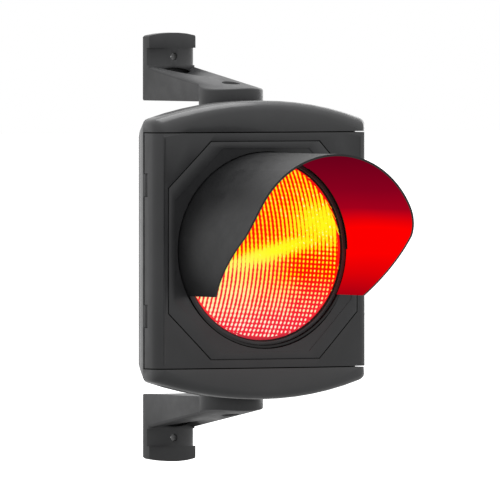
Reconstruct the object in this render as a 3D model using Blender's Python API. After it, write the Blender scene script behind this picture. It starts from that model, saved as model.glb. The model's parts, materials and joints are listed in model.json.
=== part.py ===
"""A traffic signal head with one 200 mm optic, held by two swivel brackets.

Metres, +Z up. The origin is on the plane where both brackets meet the pole, midway
between them. The optic faces -Y, so a depth behind the face's foremost line is
added to FACE_Y to give a Y position.
"""

import math

import bmesh
import bpy

# ---------------------------------------------------------------- overall sizes
POLE_REACH = 0.226  # pole plane to the foremost line of the face
FACE_Y = -POLE_REACH
PIVOT_DEPTH = 0.0795  # swivel axis behind the foremost line
PIVOT_Y = FACE_Y + PIVOT_DEPTH
HEAD_HALF_WIDTH = 0.1365
BROW_HALF_HEIGHT = 0.1667  # middle of the domed brow
BROW_SIDE_HEIGHT = 0.1462  # where the dome would meet the side with no corner
BROW_CORNER = 0.006
FACE_RADIUS = 0.977  # the face bulges about a vertical axis
FACE_EDGE = 0.011  # rounding of the face's vertical edges
STRAIGHT_DEPTH = 0.0385  # depth at which the housing starts to taper
# depth, half width, middle height and side height of each tapered section
TAPER = (
    (0.068, 0.1256, 0.1608, 0.1400),
    (0.085, 0.1135, 0.1535, 0.1325),
    (0.102, 0.1000, 0.1440, 0.1225),
    (0.120, 0.0840, 0.1330, 0.1105),
    (0.140, 0.0620, 0.1180, 0.0960),
)
TAPER_CORNER = 0.016

# ---------------------------------------------------------------- clearances
TOUCH_GAP = 0.0003
SEAM_GAP = 0.0012
RUNNING_GAP = 0.0003

# ---------------------------------------------------------------- housing and door
WALL = 0.003
SHELF = 0.0025  # brow floor above and below the door
DOOR_HALF_HEIGHT = 0.1308
DOOR_DEPTH = 0.0367
DOOR_FACE = 0.0065
DOOR_REAR_CHAMFER = 0.0015
PANEL_HALF = 0.1209
PANEL_STRAIGHT = 0.0695
PANEL_THICK = 0.003
STEP_HALF = 0.1136
STEP_STRAIGHT = 0.0557
STEP_DEPTH = 0.0007
PANEL_BORE = 0.1103
DOOR_BORE = 0.1145
RIM_DEPTH = DOOR_DEPTH + SEAM_GAP
RIM_WIDTH = 0.006  # front rim of the housing's side walls
LEDGE_DEPTH = 0.0402  # front of the ledge that carries the gasket
LEDGE_THICK = 0.002
MOUTH_HALF_WIDTH = 0.124
MOUTH_HALF_HEIGHT = 0.1235
RIB_OUT = 0.0035  # door's sealing rib, outside the mouth
RIB_WALL = 0.002

# ---------------------------------------------------------------- door hinge and latches
HINGE_X = -0.132
HINGE_DEPTH = 0.0325
HINGE_Z = 0.073
HINGE_PIN_R = 0.0015
KNUCKLE_R = 0.0035
HINGE_SLOT = 0.026
NECK_STEP = 0.0008
HINGE_SLOT_FRONT = 0.0044  # slot's front edge, ahead of the hinge axis
LUG_LENGTH = 0.006
LATCH_Z = 0.073
LATCH_DEPTH = 0.023
LATCH_HEAD_R = 0.0055
LATCH_HEAD = 0.001
LATCH_SHAFT_R = 0.0035
LATCH_PIN_REACH = 0.023  # latch axis to the catch pin
LATCH_PIN_R = 0.0022
LATCH_FINGER = 0.004
POST_X = 0.125
HOOK_X = 0.1205
HOOK_THICK = 0.003
HOOK_PLAY = 0.0006
HOOK_ROOT = 0.0045

# ---------------------------------------------------------------- visor and optic
VISOR_OUTER = 0.109
VISOR_WALL = 0.0024
VISOR_REACH = 0.156
VISOR_SHOULDER = 0.153  # reach of the side where the shoulder starts
VISOR_SHOULDER_Z = 0.058
VISOR_SHOULDER_R = 0.060
VISOR_SLANT = math.radians(38.5)
VISOR_BOTTOM_Z = -0.0505
PANEL_COLLAR = 0.0035  # front of the visor's full ring, where the hood is cut away
VISOR_FLANGE_DEPTH = 0.0128
VISOR_FLANGE = 0.0021
VISOR_FLANGE_R = 0.1139
RING_FRONT = 0.0065
RING_WALL = 0.0042
LENS_R = 0.1004
LENS_EDGE = 0.008
LENS_BULGE = 0.0045
LENS_THICK = 0.003
FLANGE_DEPTH = 0.0152  # front of the optic's mounting flange
FLANGE_THICK = 0.0025
FLANGE_R = 0.123
BOWL_R = 0.099
BOWL_STEP = 0.0025
BOWL_STRAIGHT = 0.030
BOWL_BACK = 0.078
BOWL_BACK_R = 0.050
BOWL_WALL = 0.0025
INNER_LENS_DEPTH = 0.0235
INNER_LENS_THICK = 0.0025
BOARD_THICK = 0.0016
LED_COUNT = 8
LED_RING_R = 0.027
LED_R = 0.0085
DRIVER_R = 0.050
DRIVER_BACK = 0.108
SCREW_R = 0.0015
SCREW_HEAD_R = 0.003
SCREW_HEAD = 0.002
BOSS_R = 0.0045
PANEL_SCREW_R = 0.129
OPTIC_SCREW_R = 0.1185

# ---------------------------------------------------------------- fittings in the housing
ENTRY_R = 0.010
ENTRY_Z = -0.062
VENT_R = 0.005
VENT_Z = 0.062
RAIL_Z = -0.022
RAIL_HALF = 0.040
BLOCK_HALF = 0.030
BLOCK_HALF_HEIGHT = 0.010
TERMINAL_COUNT = 5
WELL_R = 0.0024

# ---------------------------------------------------------------- brackets
HUB_R = 0.036
HUB_BOTTOM = 0.1605
SEAT_R = 0.0375
SEAT_TOP = 0.1567
BOLT_SEAT = 0.1462  # underside of the boss, where the washer bears
BOSS_FOOT = 0.1336
BOSS_WALL = 0.004
ARM_HALF_WIDTH = 0.030
ARM_BOTTOM = 0.165
ARM_CROWN = 0.007
TROUGH_R = 0.034  # hollow along the arm's top, in front of the saddle
TROUGH_BOTTOM = 0.1915
LIP_HALF = 0.025  # hollow that runs on from the trough under the saddle's lower lip
LIP_SIDE_Z = 0.1965
LIP_TOP_Z = 0.2020
LIP_DEPTH = 0.006
ARM_TOP_FRONT = 0.1804  # top of the hub's front
ARM_TOP_BACK = 0.206  # top where the arm meets the saddle
SADDLE_HALF_WIDTH = 0.030
SADDLE_FRONT = 0.2115  # depth of the saddle's front corners
SADDLE_BULGE = 0.004
SADDLE_CORNER_Z = 0.238
SADDLE_CREST_Z = 0.2413
BAND_CENTRE_Z = 0.2143
BAND_HEIGHT = 0.0195
BAND_DEPTH = 0.0062
POLE_NOTCH = 0.0040  # depth of the hollow that centres a pole
POLE_LAND = 0.010
BOLT_HOLE_R = 0.0043
PIVOT_BOLT_R = 0.0085
PIVOT_HEAD_R = 0.0098
PIVOT_RECESS_R = 0.0105
PIVOT_HEAD_Z = 0.176
PIVOT_CABLE_R = 0.005
NUT_R = 0.014
NUT_HEIGHT = 0.007
WASHER = 0.002
DISC_R = 0.034

SIDES = ((1, "upper"), (-1, "lower"))
ROUND = 48
SMALL_ROUND = 16


# ---------------------------------------------------------------- tools for making shapes
def clear_scene():
    for obj in list(bpy.data.objects):
        bpy.data.objects.remove(obj)


def finish(material, look):
    """A Principled material of this colour, roughness and metallic value."""
    found = bpy.data.materials.new(material)
    found.use_nodes = True
    shader = found.node_tree.nodes["Principled BSDF"]
    colour, roughness, metallic = look
    shader.inputs["Base Color"].default_value = (*colour, 1)
    shader.inputs["Roughness"].default_value = roughness
    shader.inputs["Metallic"].default_value = metallic
    return found


def add_object(name, mesh_data):
    """Put finished bmesh geometry in the scene as one named, smooth-shaded object."""
    bmesh.ops.recalc_face_normals(mesh_data, faces=mesh_data.faces)
    mesh = bpy.data.meshes.new(name)
    mesh_data.to_mesh(mesh)
    mesh_data.free()
    mesh.shade_smooth()
    mesh.set_sharp_from_angle(angle=math.radians(35))
    obj = bpy.data.objects.new(name, mesh)
    bpy.context.collection.objects.link(obj)
    return obj


def prism(name, outline, start, end, axis="Z"):
    """Extrude a closed outline of (u, v) points from start to end along an axis.

    The outline's u and v are X, Y for axis Z, X, Z for axis Y and Y, Z for axis X.
    """
    place = {
        "X": lambda u, v, w: (w, u, v),
        "Y": lambda u, v, w: (u, w, v),
        "Z": lambda u, v, w: (u, v, w),
    }[axis]
    shape = bmesh.new()
    near = [shape.verts.new(place(u, v, start)) for u, v in outline]
    far = [shape.verts.new(place(u, v, end)) for u, v in outline]
    count = len(outline)
    shape.faces.new(near)
    shape.faces.new(far)
    for i in range(count):
        j = (i + 1) % count
        shape.faces.new((near[i], near[j], far[j], far[i]))
    return add_object(name, shape)


def turned(name, profile, centre, axis="Y", steps=ROUND, first=0.0):
    """Turn a closed profile of (radius, place along the axis) points round an axis.

    A profile that touches the axis has its points on the axis first and last.
    """
    cx, cy, cz = centre
    place = {
        "X": lambda r, h, a: (cx + h, cy + r * math.cos(a), cz + r * math.sin(a)),
        "Y": lambda r, h, a: (cx + r * math.cos(a), cy + h, cz + r * math.sin(a)),
        "Z": lambda r, h, a: (cx + r * math.cos(a), cy + r * math.sin(a), cz + h),
    }[axis]
    shape = bmesh.new()
    rings = []
    for radius, height in profile:
        if radius == 0:
            rings.append([shape.verts.new(place(0, height, 0))] * steps)
            continue
        ring = []
        for i in range(steps):
            angle = first + 2 * math.pi * i / steps
            ring.append(shape.verts.new(place(radius, height, angle)))
        rings.append(ring)
    pairs = list(zip(rings, rings[1:]))
    if profile[0][0] > 0:
        pairs.append((rings[-1], rings[0]))
    for low, high in pairs:
        for i in range(steps):
            j = (i + 1) % steps
            corners = []
            for vert in (low[i], low[j], high[j], high[i]):
                if vert not in corners:
                    corners.append(vert)
            if len(corners) > 2:
                shape.faces.new(corners)
    return add_object(name, shape)


def rod(name, radius, centre, start, end, axis="Y", steps=SMALL_ROUND, first=0.0):
    """A plain round bar between two places along an axis."""
    profile = [(0, start), (radius, start), (radius, end), (0, end)]
    return turned(name, profile, centre, axis, steps, first)


def tube(name, inner, outer, centre, start, end, axis="Y", steps=ROUND):
    """A round tube between two places along an axis."""
    profile = [(inner, start), (outer, start), (outer, end), (inner, end)]
    return turned(name, profile, centre, axis, steps)


def block(name, low, high):
    """A rectangular block between two corners."""
    outline = [(low[0], low[1]), (high[0], low[1]), (high[0], high[1]), (low[0], high[1])]
    return prism(name, outline, low[2], high[2])


def loft(name, rings):
    """Join rings with equal point counts, and close both ends."""
    shape = bmesh.new()
    loops = [[shape.verts.new(point) for point in ring] for ring in rings]
    count = len(loops[0])
    shape.faces.new(loops[0])
    shape.faces.new(loops[-1])
    for low, high in zip(loops, loops[1:]):
        for i in range(count):
            j = (i + 1) % count
            shape.faces.new((low[i], low[j], high[j], high[i]))
    return add_object(name, shape)


def combine(obj, other, operation):
    """Cut, join or intersect with another object, which becomes a hidden helper."""
    modifier = obj.modifiers.new(other.name, "BOOLEAN")
    modifier.operation = operation
    modifier.object = other
    other.hide_render = True
    other.display_type = "WIRE"
    return obj


def cut(obj, *cutters):
    for cutter in cutters:
        combine(obj, cutter, "DIFFERENCE")
    return obj


def join(obj, *others):
    for other in others:
        combine(obj, other, "UNION")
    return obj


def keep_common(obj, other):
    return combine(obj, other, "INTERSECT")


def use_manifold(obj):
    """Change solver where the exact one leaves open edges, as it does round holes in faces."""
    for modifier in obj.modifiers:
        modifier.solver = "MANIFOLD"


def dress(obj, look):
    """Give a piece its own material, named after it."""
    obj.data.materials.append(finish(obj.name + "_finish", look))
    return obj


def depth(value):
    """The Y position at this depth behind the face's foremost line."""
    return FACE_Y + value


# ---------------------------------------------------------------- outlines
def face_depth(x, inset=0.0):
    """Depth of the bulging face, or of a surface that far behind it, at x."""
    return FACE_RADIUS - math.sqrt((FACE_RADIUS - inset) ** 2 - x * x)


def plan_outline(half_width, inset, edge, back, chamfer=0.0, steps=16, edge_steps=4):
    """Plan of a box with the bulging front and rounded front corners, left to right."""
    bulge = FACE_RADIUS - inset
    corner_x = half_width - edge
    corner_depth = FACE_RADIUS - math.sqrt((bulge - edge) ** 2 - corner_x**2)
    sweep = math.atan2(corner_x, FACE_RADIUS - corner_depth)
    right = []
    for i in range(steps // 2 + 1):
        angle = sweep * i / (steps // 2)
        x = bulge * math.sin(angle)
        right.append((x, depth(FACE_RADIUS - bulge * math.cos(angle))))
    for i in range(1, edge_steps + 1):
        angle = sweep + (math.pi / 2 - sweep) * i / edge_steps
        x = corner_x + edge * math.sin(angle)
        right.append((x, depth(corner_depth - edge * math.cos(angle))))
    left = [(-x, y) for x, y in reversed(right[1:])]
    if chamfer:
        rear = [(half_width, back), (chamfer - half_width, back), (-half_width, back - chamfer)]
    else:
        rear = [(half_width, back), (-half_width, back)]
    return left + right + rear


def curved_slab(name, near, far, half_width, half_height, steps=24):
    """A plate that follows the bulging face between two insets."""
    points = []
    for i in range(steps + 1):
        x = half_width * (2 * i / steps - 1)
        points.append((x, depth(face_depth(x, near))))
    for i in range(steps + 1):
        x = half_width * (1 - 2 * i / steps)
        points.append((x, depth(face_depth(x, far))))
    return prism(name, points, -half_height, half_height)


def octagon(half, straight):
    """Octagon with flat sides of half length `straight` at distance `half`."""
    right = [(half, -straight), (half, straight), (straight, half)]
    return right + [(-straight, half), (-half, straight), (-half, -straight)] + [
        (-straight, -half),
        (straight, -half),
    ]


def brow_section(half_width, middle, side, corner, steps=12, corner_steps=3):
    """Upper edge of a housing section, left to right: (x, z) up one side and over."""
    rise = middle - side
    flat = half_width - corner * 0.5
    radius = (flat**2 + rise**2) / (2 * rise)
    lean = math.asin((half_width - corner) / radius)
    shoulder = middle - radius * (1 - math.cos(lean))
    right = []
    for i in range(steps // 2 + 1):
        angle = lean * i / (steps // 2)
        right.append((radius * math.sin(angle), middle - radius * (1 - math.cos(angle))))
    for i in range(1, corner_steps + 1):
        turn = lean + (math.pi / 2 - lean) * i / corner_steps
        x = half_width - corner + corner * (math.sin(turn) - math.sin(lean)) / (1 - math.sin(lean))
        drop = corner * (math.cos(lean) - math.cos(turn)) / math.cos(lean)
        right.append((x, shoulder - drop))
    return [(-x, z) for x, z in reversed(right[1:])] + right


# ---------------------------------------------------------------- rear housing
def housing_rings(wall):
    """Upper edges of the housing's sections, front to back, `wall` inside its skin."""
    half_width = HEAD_HALF_WIDTH - wall
    middle = BROW_HALF_HEIGHT - wall
    side = BROW_SIDE_HEIGHT - wall
    edge = FACE_EDGE - wall
    corner = BROW_CORNER
    rings = []
    for i in range(4):
        angle = math.pi / 6 * i
        inset = edge * (1 - math.sin(angle))
        lag = wall + edge * (1 - math.cos(angle))
        top = brow_section(half_width - inset, middle - inset, side - inset, corner)
        rings.append([(x, depth(face_depth(x) + lag), z) for x, z in top])
    sections = [(STRAIGHT_DEPTH, half_width, middle, side, corner)]
    for back, width, height, flank in TAPER:
        sections.append((back, width - wall, height - wall, flank - wall, TAPER_CORNER))
    for back, width, height, flank, rounding in sections:
        top = brow_section(width, height, flank, rounding)
        rings.append([(x, depth(back), z) for x, z in top])
    rings[-1] = [(x, y - wall, z) for x, y, z in rings[-1]]
    return rings


def housing_body(name, wall):
    """Closed body through the sections, each end closed by upright strips."""
    shape = bmesh.new()
    loops = []
    for ring in housing_rings(wall):
        above = [shape.verts.new((x, y, z)) for x, y, z in ring]
        below = [shape.verts.new((x, y, -z)) for x, y, z in ring]
        loops.append((above, below))
    last = len(loops[0][0]) - 1
    for (top, low), (next_top, next_low) in zip(loops, loops[1:]):
        for i in range(last):
            shape.faces.new((top[i], top[i + 1], next_top[i + 1], next_top[i]))
            shape.faces.new((low[i], low[i + 1], next_low[i + 1], next_low[i]))
        for i in (0, last):
            shape.faces.new((top[i], low[i], next_low[i], next_top[i]))
    for top, low in (loops[0], loops[-1]):
        for i in range(last):
            shape.faces.new((top[i], top[i + 1], low[i + 1], low[i]))
    return add_object(name, shape)


def front_box(name, half_width, half_height, back, front=-0.05):
    """A block across the head from in front of its face to a given depth."""
    low = (-half_width, depth(front), -half_height)
    return block(name, low, (half_width, depth(back), half_height))


def make_housing():
    housing = housing_body("rear_housing", 0.0)
    cavity = housing_body("housing_cavity", WALL)
    shelf_z = DOOR_HALF_HEIGHT + SEAM_GAP
    ledge_back = LEDGE_DEPTH + LEDGE_THICK
    cut(cavity, front_box("brow_floors", 0.2, shelf_z + SHELF, ledge_back))
    pocket = front_box("door_pocket", 0.2, shelf_z, RIM_DEPTH)
    seat_half = HEAD_HALF_WIDTH - RIM_WIDTH
    seat = front_box("gasket_seat", seat_half, shelf_z - WALL, LEDGE_DEPTH)
    mouth = front_box("mouth", MOUTH_HALF_WIDTH, MOUTH_HALF_HEIGHT, ledge_back + TOUCH_GAP)
    centre = (0, PIVOT_Y, 0)
    for side, word in SIDES:
        collar_base = side * (BOLT_SEAT + 0.001)
        collar = rod(word + "_collar", SEAT_R + WALL, centre, collar_base, side * 0.2, "Z", 40)
        cut(cavity, collar)
    cut(housing, cavity, pocket, seat, mouth)
    for side, word in SIDES:
        boss_top = side * (SEAT_TOP + 0.001)
        boss_r = SEAT_R - 0.0005
        boss = rod(word + "_boss", boss_r, centre, side * BOSS_FOOT, boss_top, "Z", 40, 0.05)
        inside_r = boss_r - BOSS_WALL
        boss_inside = rod(word + "_boss_inside", inside_r, centre, side * 0.12, side * BOLT_SEAT, "Z", 36)
        recess = rod(word + "_recess", SEAT_R, centre, side * SEAT_TOP, side * 0.2, "Z", 40)
        bolt_r = PIVOT_BOLT_R + RUNNING_GAP
        hole = rod(word + "_seat_hole", bolt_r, centre, side * 0.13, side * 0.2, "Z", 24)
        join(housing, boss)
        cut(housing, boss_inside, recess, hole)
        add_knuckle(housing, side, word)
        add_catch_post(housing, side, word)
    add_entries(housing)
    use_manifold(housing)
    return dress(housing, ((0.055, 0.056, 0.058), 0.55, 0.0))


def add_knuckle(housing, side, word):
    """The housing's fixed half of a hinge: a barrel on a neck from the front rim."""
    half = HINGE_SLOT / 2 - 0.0005
    z = side * HINGE_Z
    axis_y = depth(HINGE_DEPTH)
    rear = depth(RIM_DEPTH + 0.001)
    neck_left = TOUCH_GAP - HEAD_HALF_WIDTH
    start = math.asin(NECK_STEP / KNUCKLE_R)
    outline = [(neck_left, rear), (neck_left, axis_y + NECK_STEP)]
    for i in range(13):
        angle = math.pi - start + (math.pi + start) * i / 12
        outline.append((HINGE_X + KNUCKLE_R * math.cos(angle), axis_y + KNUCKLE_R * math.sin(angle)))
    rim_inside = RIM_WIDTH - TOUCH_GAP - HEAD_HALF_WIDTH
    before_gasket = depth(RIM_DEPTH - TOUCH_GAP)
    outline.append((HINGE_X + KNUCKLE_R, before_gasket))
    outline += [(rim_inside, before_gasket), (rim_inside, rear)]
    knuckle = prism(word + "_knuckle", outline, z - half, z + half)
    pin_r = HINGE_PIN_R + RUNNING_GAP
    bore = rod(word + "_knuckle_bore", pin_r, (HINGE_X, axis_y, z), -0.02, 0.02, "Z")
    join(housing, knuckle)
    cut(housing, bore)


def add_catch_post(housing, side, word):
    """A post behind the ledge that carries a latch's catch pin."""
    y = depth(LATCH_DEPTH + LATCH_PIN_REACH)
    z = side * LATCH_Z
    low = (POST_X, depth(LEDGE_DEPTH + LEDGE_THICK - 0.0007), z - BOSS_R)
    post = block(word + "_catch_post", low, (POST_X + 0.0048, y + BOSS_R, z + BOSS_R))
    pin_r = LATCH_PIN_R + TOUCH_GAP
    bore = rod(word + "_catch_bore", pin_r, (POST_X, y, z), -0.01, 0.004, "X")
    join(housing, post)
    cut(housing, bore)


def add_entries(housing):
    """Threaded cable entry and breather hole in the rear wall."""
    back = depth(TAPER[-1][0])
    for name, radius, z in (("cable_entry", ENTRY_R, ENTRY_Z), ("breather_hole", VENT_R, VENT_Z)):
        cut(housing, rod(name, radius + TOUCH_GAP, (0, back, z), -0.01, 0.01, "Y", 32))


# ---------------------------------------------------------------- door and visor
def make_door():
    outline = plan_outline(
        HEAD_HALF_WIDTH, 0, FACE_EDGE, depth(DOOR_DEPTH), DOOR_REAR_CHAMFER
    )
    door = prism("door", outline, -DOOR_HALF_HEIGHT, DOOR_HALF_HEIGHT)
    inner_edge = FACE_EDGE - WALL
    inside = plan_outline(HEAD_HALF_WIDTH - WALL, DOOR_FACE, inner_edge, depth(DOOR_DEPTH + 0.02))
    hollow_half = DOOR_HALF_HEIGHT - WALL
    rib = ("sealing_rib", MOUTH_HALF_WIDTH + RIB_OUT, MOUTH_HALF_HEIGHT + RIB_OUT)
    rib_face = depth(RIM_DEPTH - TOUCH_GAP)
    rib_frame = block(rib[0], (-rib[1], depth(0.008), -rib[2]), (rib[1], rib_face, rib[2]))
    inner = (rib[1] - RIB_WALL, rib[2] - RIB_WALL)
    rib_hole = block("rib_hole", (-inner[0], depth(-0.02), -inner[1]), (inner[0], depth(0.06), inner[1]))
    cut(rib_frame, rib_hole)
    cut(door, prism("door_hollow", inside, -hollow_half, hollow_half))
    join(door, rib_frame)
    seat = curved_slab("panel_seat", -0.02, PANEL_THICK + TOUCH_GAP, 0.13, 0.13)
    seat_outline = octagon(PANEL_HALF + SEAM_GAP, PANEL_STRAIGHT + SEAM_GAP / 2)
    keep_common(seat, prism("seat_octagon", seat_outline, depth(-0.01), depth(0.04), "Y"))
    opening = rod("door_bore", DOOR_BORE, (0, 0, 0), depth(-0.02), depth(0.06), "Y", 64)
    cut(door, seat, opening)
    for side, word in SIDES:
        add_hinge_lugs(door, side, word)
        shaft_r = LATCH_SHAFT_R + RUNNING_GAP
        centre = (0, depth(LATCH_DEPTH), side * LATCH_Z)
        cut(door, rod(word + "_latch_hole", shaft_r, centre, 0.115, 0.16, "X"))
    for number, (x, z) in enumerate(around(OPTIC_SCREW_R), 1):
        start = depth(face_depth(x) + DOOR_FACE - 0.001)
        end = depth(FLANGE_DEPTH - TOUCH_GAP)
        boss = rod(f"optic_boss_{number}", BOSS_R, (x, 0, z), start, end)
        hole = rod(f"optic_hole_{number}", SCREW_R + TOUCH_GAP, (x, 0, z), depth(0.009), end + 0.01)
        join(door, boss)
        cut(door, hole)
    for number, (x, z) in enumerate(around(PANEL_SCREW_R), 1):
        hole = rod(f"panel_hole_{number}", SCREW_R + TOUCH_GAP, (x, 0, z), depth(0), depth(0.03))
        cut(door, hole)
    use_manifold(door)
    return dress(door, ((0.055, 0.056, 0.058), 0.55, 0.0))


def around(radius):
    """Four places on the diagonals at this distance from the optic's axis."""
    reach = radius / math.sqrt(2)
    return ((reach, reach), (-reach, reach), (-reach, -reach), (reach, -reach))


def add_hinge_lugs(door, side, word):
    """Slot in the skirt for the housing's knuckle, with a pin lug at each end."""
    z = side * HINGE_Z
    axis_y = depth(HINGE_DEPTH)
    half = HINGE_SLOT / 2
    reach = KNUCKLE_R - TOUCH_GAP
    slot_front = depth(HINGE_DEPTH - HINGE_SLOT_FRONT)
    low = (-HEAD_HALF_WIDTH - 0.01, slot_front, z - half)
    cut(door, block(word + "_hinge_slot", low, (HINGE_X + KNUCKLE_R + 0.0004, depth(0.05), z + half)))
    for end in (-1, 1):
        near = z + end * half
        far = near + end * LUG_LENGTH
        low = (HINGE_X - 0.002, axis_y - reach, min(near, far))
        high = (HINGE_X + reach, axis_y + reach, max(near, far))
        join(door, block(f"{word}_lug_{end}", low, high))
    pin_r = HINGE_PIN_R + TOUCH_GAP
    cut(door, rod(word + "_lug_bore", pin_r, (HINGE_X, axis_y, z), -0.03, 0.03, "Z"))


def make_panel():
    """Octagonal bezel panel let into the door, with a shallow inner step."""
    panel = curved_slab("bezel_panel", 0, PANEL_THICK, 0.128, 0.128)
    outline = octagon(PANEL_HALF, PANEL_STRAIGHT)
    keep_common(panel, prism("panel_octagon", outline, depth(-0.01), depth(0.04), "Y"))
    step = curved_slab("panel_step", -0.02, STEP_DEPTH, 0.127, 0.127)
    outline = octagon(STEP_HALF, STEP_STRAIGHT)
    keep_common(step, prism("step_octagon", outline, depth(-0.011), depth(0.041), "Y"))
    bore = rod("panel_bore", PANEL_BORE, (0, 0, 0), depth(-0.03), depth(0.05), "Y", 64)
    cut(panel, step, bore)
    for number, (x, z) in enumerate(around(PANEL_SCREW_R), 1):
        near = depth(face_depth(x) + 0.001)
        cut(panel, rod(f"panel_thread_{number}", SCREW_R + TOUCH_GAP, (x, 0, z), near, depth(0.03)))
    use_manifold(panel)
    return dress(panel, ((0.055, 0.056, 0.058), 0.5, 0.0))


def visor_reach(z):
    """How far the visor's side stands in front of the face at this height."""
    if z >= VISOR_SHOULDER_Z:
        rise = (z - VISOR_SHOULDER_Z) / (VISOR_OUTER - VISOR_SHOULDER_Z)
        return VISOR_SHOULDER + (VISOR_REACH - VISOR_SHOULDER) * rise
    arc_rise = VISOR_SHOULDER_R * math.cos(VISOR_SLANT)
    fall = VISOR_SHOULDER_Z - z
    if fall <= arc_rise:
        cos_angle = fall / VISOR_SHOULDER_R
        return VISOR_SHOULDER - VISOR_SHOULDER_R * (1 - math.sqrt(1 - cos_angle**2))
    arc_end = VISOR_SHOULDER - VISOR_SHOULDER_R * (1 - math.sin(VISOR_SLANT))
    return arc_end - (fall - arc_rise) / math.tan(VISOR_SLANT)


def make_visor():
    """Cutaway tube hood, open below, on a full ring that plugs in behind the panel."""
    inner = VISOR_OUTER - VISOR_WALL
    flange_back = depth(VISOR_FLANGE_DEPTH + VISOR_FLANGE)
    flange_front = depth(VISOR_FLANGE_DEPTH)
    collar_front = depth(PANEL_COLLAR)
    profile = [
        (inner, collar_front),
        (VISOR_OUTER, collar_front),
        (VISOR_OUTER, flange_front),
        (VISOR_FLANGE_R, flange_front),
        (VISOR_FLANGE_R, flange_back),
        (inner, flange_back),
    ]
    visor = turned("visor", profile, (0, 0, 0), "Y", 64)
    start = math.asin(VISOR_BOTTOM_Z / VISOR_OUTER)
    steps = 46
    rings = []
    for i in range(steps + 1):
        angle = start + (math.pi - 2 * start) * i / steps
        front = FACE_Y - visor_reach(VISOR_OUTER * math.sin(angle))
        back = depth(PANEL_COLLAR + 0.001)
        ring = []
        for radius, y in (
            (inner, back),
            (inner, front),
            (VISOR_OUTER, front),
            (VISOR_OUTER, back),
        ):
            ring.append((radius * math.cos(angle), y, radius * math.sin(angle)))
        rings.append(ring)
    join(visor, loft("visor_hood", rings))
    use_manifold(visor)
    return dress(visor, ((0.03, 0.031, 0.033), 0.5, 0.0))


# ---------------------------------------------------------------- optic
def make_lens_ring():
    outer = VISOR_OUTER - VISOR_WALL - TOUCH_GAP - 0.0001
    inner = outer - RING_WALL
    back = depth(FLANGE_DEPTH - TOUCH_GAP)
    ring = tube("lens_ring", inner, outer, (0, 0, 0), depth(RING_FRONT), back, "Y", 60)
    return dress(ring, ((0.32, 0.32, 0.33), 0.45, 0.0))


def make_lens_seal():
    outer = VISOR_OUTER - VISOR_WALL - RING_WALL - 2 * TOUCH_GAP - 0.0001
    back = depth(FLANGE_DEPTH - TOUCH_GAP)
    inner = LENS_R + TOUCH_GAP
    seal = tube("lens_seal", inner, outer, (0, 0, 0), depth(LENS_EDGE), back, "Y", 60)
    return dress(seal, ((0.01, 0.01, 0.01), 0.8, 0.0))


def dome(radius, edge, bulge, steps=4):
    """Points of a shallow dome from its rim to its middle."""
    points = []
    for i in range(steps + 1):
        share = 1 - i / steps
        points.append((radius * share, edge - bulge * (1 - share**2)))
    return points


def make_outer_lens():
    """Domed lens whose rim goes back to the mounting flange."""
    front = dome(LENS_R, depth(LENS_EDGE), LENS_BULGE)
    skirt_inner = LENS_R - LENS_THICK
    back = dome(skirt_inner, depth(LENS_EDGE + LENS_THICK), LENS_BULGE)
    end = depth(FLANGE_DEPTH - TOUCH_GAP)
    profile = front[::-1] + [(LENS_R, end), (skirt_inner, end)] + back
    lens = turned("outer_lens", profile, (0, 0, 0), "Y", 60)
    return dress(lens, ((0.75, 0.02, 0.02), 0.15, 0.0))


def make_inner_lens():
    radius = BOWL_R - TOUCH_GAP
    front = depth(INNER_LENS_DEPTH)
    lens = rod("inner_lens", radius, (0, 0, 0), front, front + INNER_LENS_THICK, "Y", 48)
    return dress(lens, ((0.85, 0.1, 0.08), 0.1, 0.0))


def make_bowl():
    """Light-tight bowl behind the lenses, with the flange that screws to the door."""
    step = depth(INNER_LENS_DEPTH + INNER_LENS_THICK + TOUCH_GAP)
    narrow = BOWL_R - BOWL_STEP
    outer = BOWL_R + BOWL_WALL
    flange_front = depth(FLANGE_DEPTH)
    flange_back = depth(FLANGE_DEPTH + FLANGE_THICK)
    profile = [
        (0, depth(BOWL_BACK)),
        (BOWL_BACK_R, depth(BOWL_BACK)),
        (narrow, depth(BOWL_STRAIGHT)),
        (narrow, step),
        (BOWL_R, step),
        (BOWL_R, flange_front),
        (FLANGE_R, flange_front),
        (FLANGE_R, flange_back),
        (outer, flange_back),
        (outer, depth(BOWL_STRAIGHT + 0.001)),
        (BOWL_BACK_R + BOWL_WALL, depth(BOWL_BACK + BOWL_WALL)),
        (0, depth(BOWL_BACK + BOWL_WALL)),
    ]
    bowl = turned("optic_bowl", profile, (0, 0, 0), "Y", 48)
    for number, (x, z) in enumerate(around(OPTIC_SCREW_R), 1):
        hole_r = SCREW_R + TOUCH_GAP
        cut(bowl, rod(f"flange_hole_{number}", hole_r, (x, 0, z), depth(0.01), depth(0.03)))
    wire_centre = (0, 0, -BOWL_BACK_R * 0.7)
    cut(bowl, rod("bowl_wire_hole", 0.004, wire_centre, depth(0.07), depth(0.09)))
    use_manifold(bowl)
    return dress(bowl, ((0.6, 0.6, 0.6), 0.5, 0.0))


def make_led_board():
    radius = BOWL_BACK_R - 0.0035
    back = depth(BOWL_BACK - TOUCH_GAP)
    board = rod("led_board", radius, (0, 0, 0), back - BOARD_THICK, back, "Y", 40)
    return dress(board, ((0.85, 0.85, 0.82), 0.5, 0.0))


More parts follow.
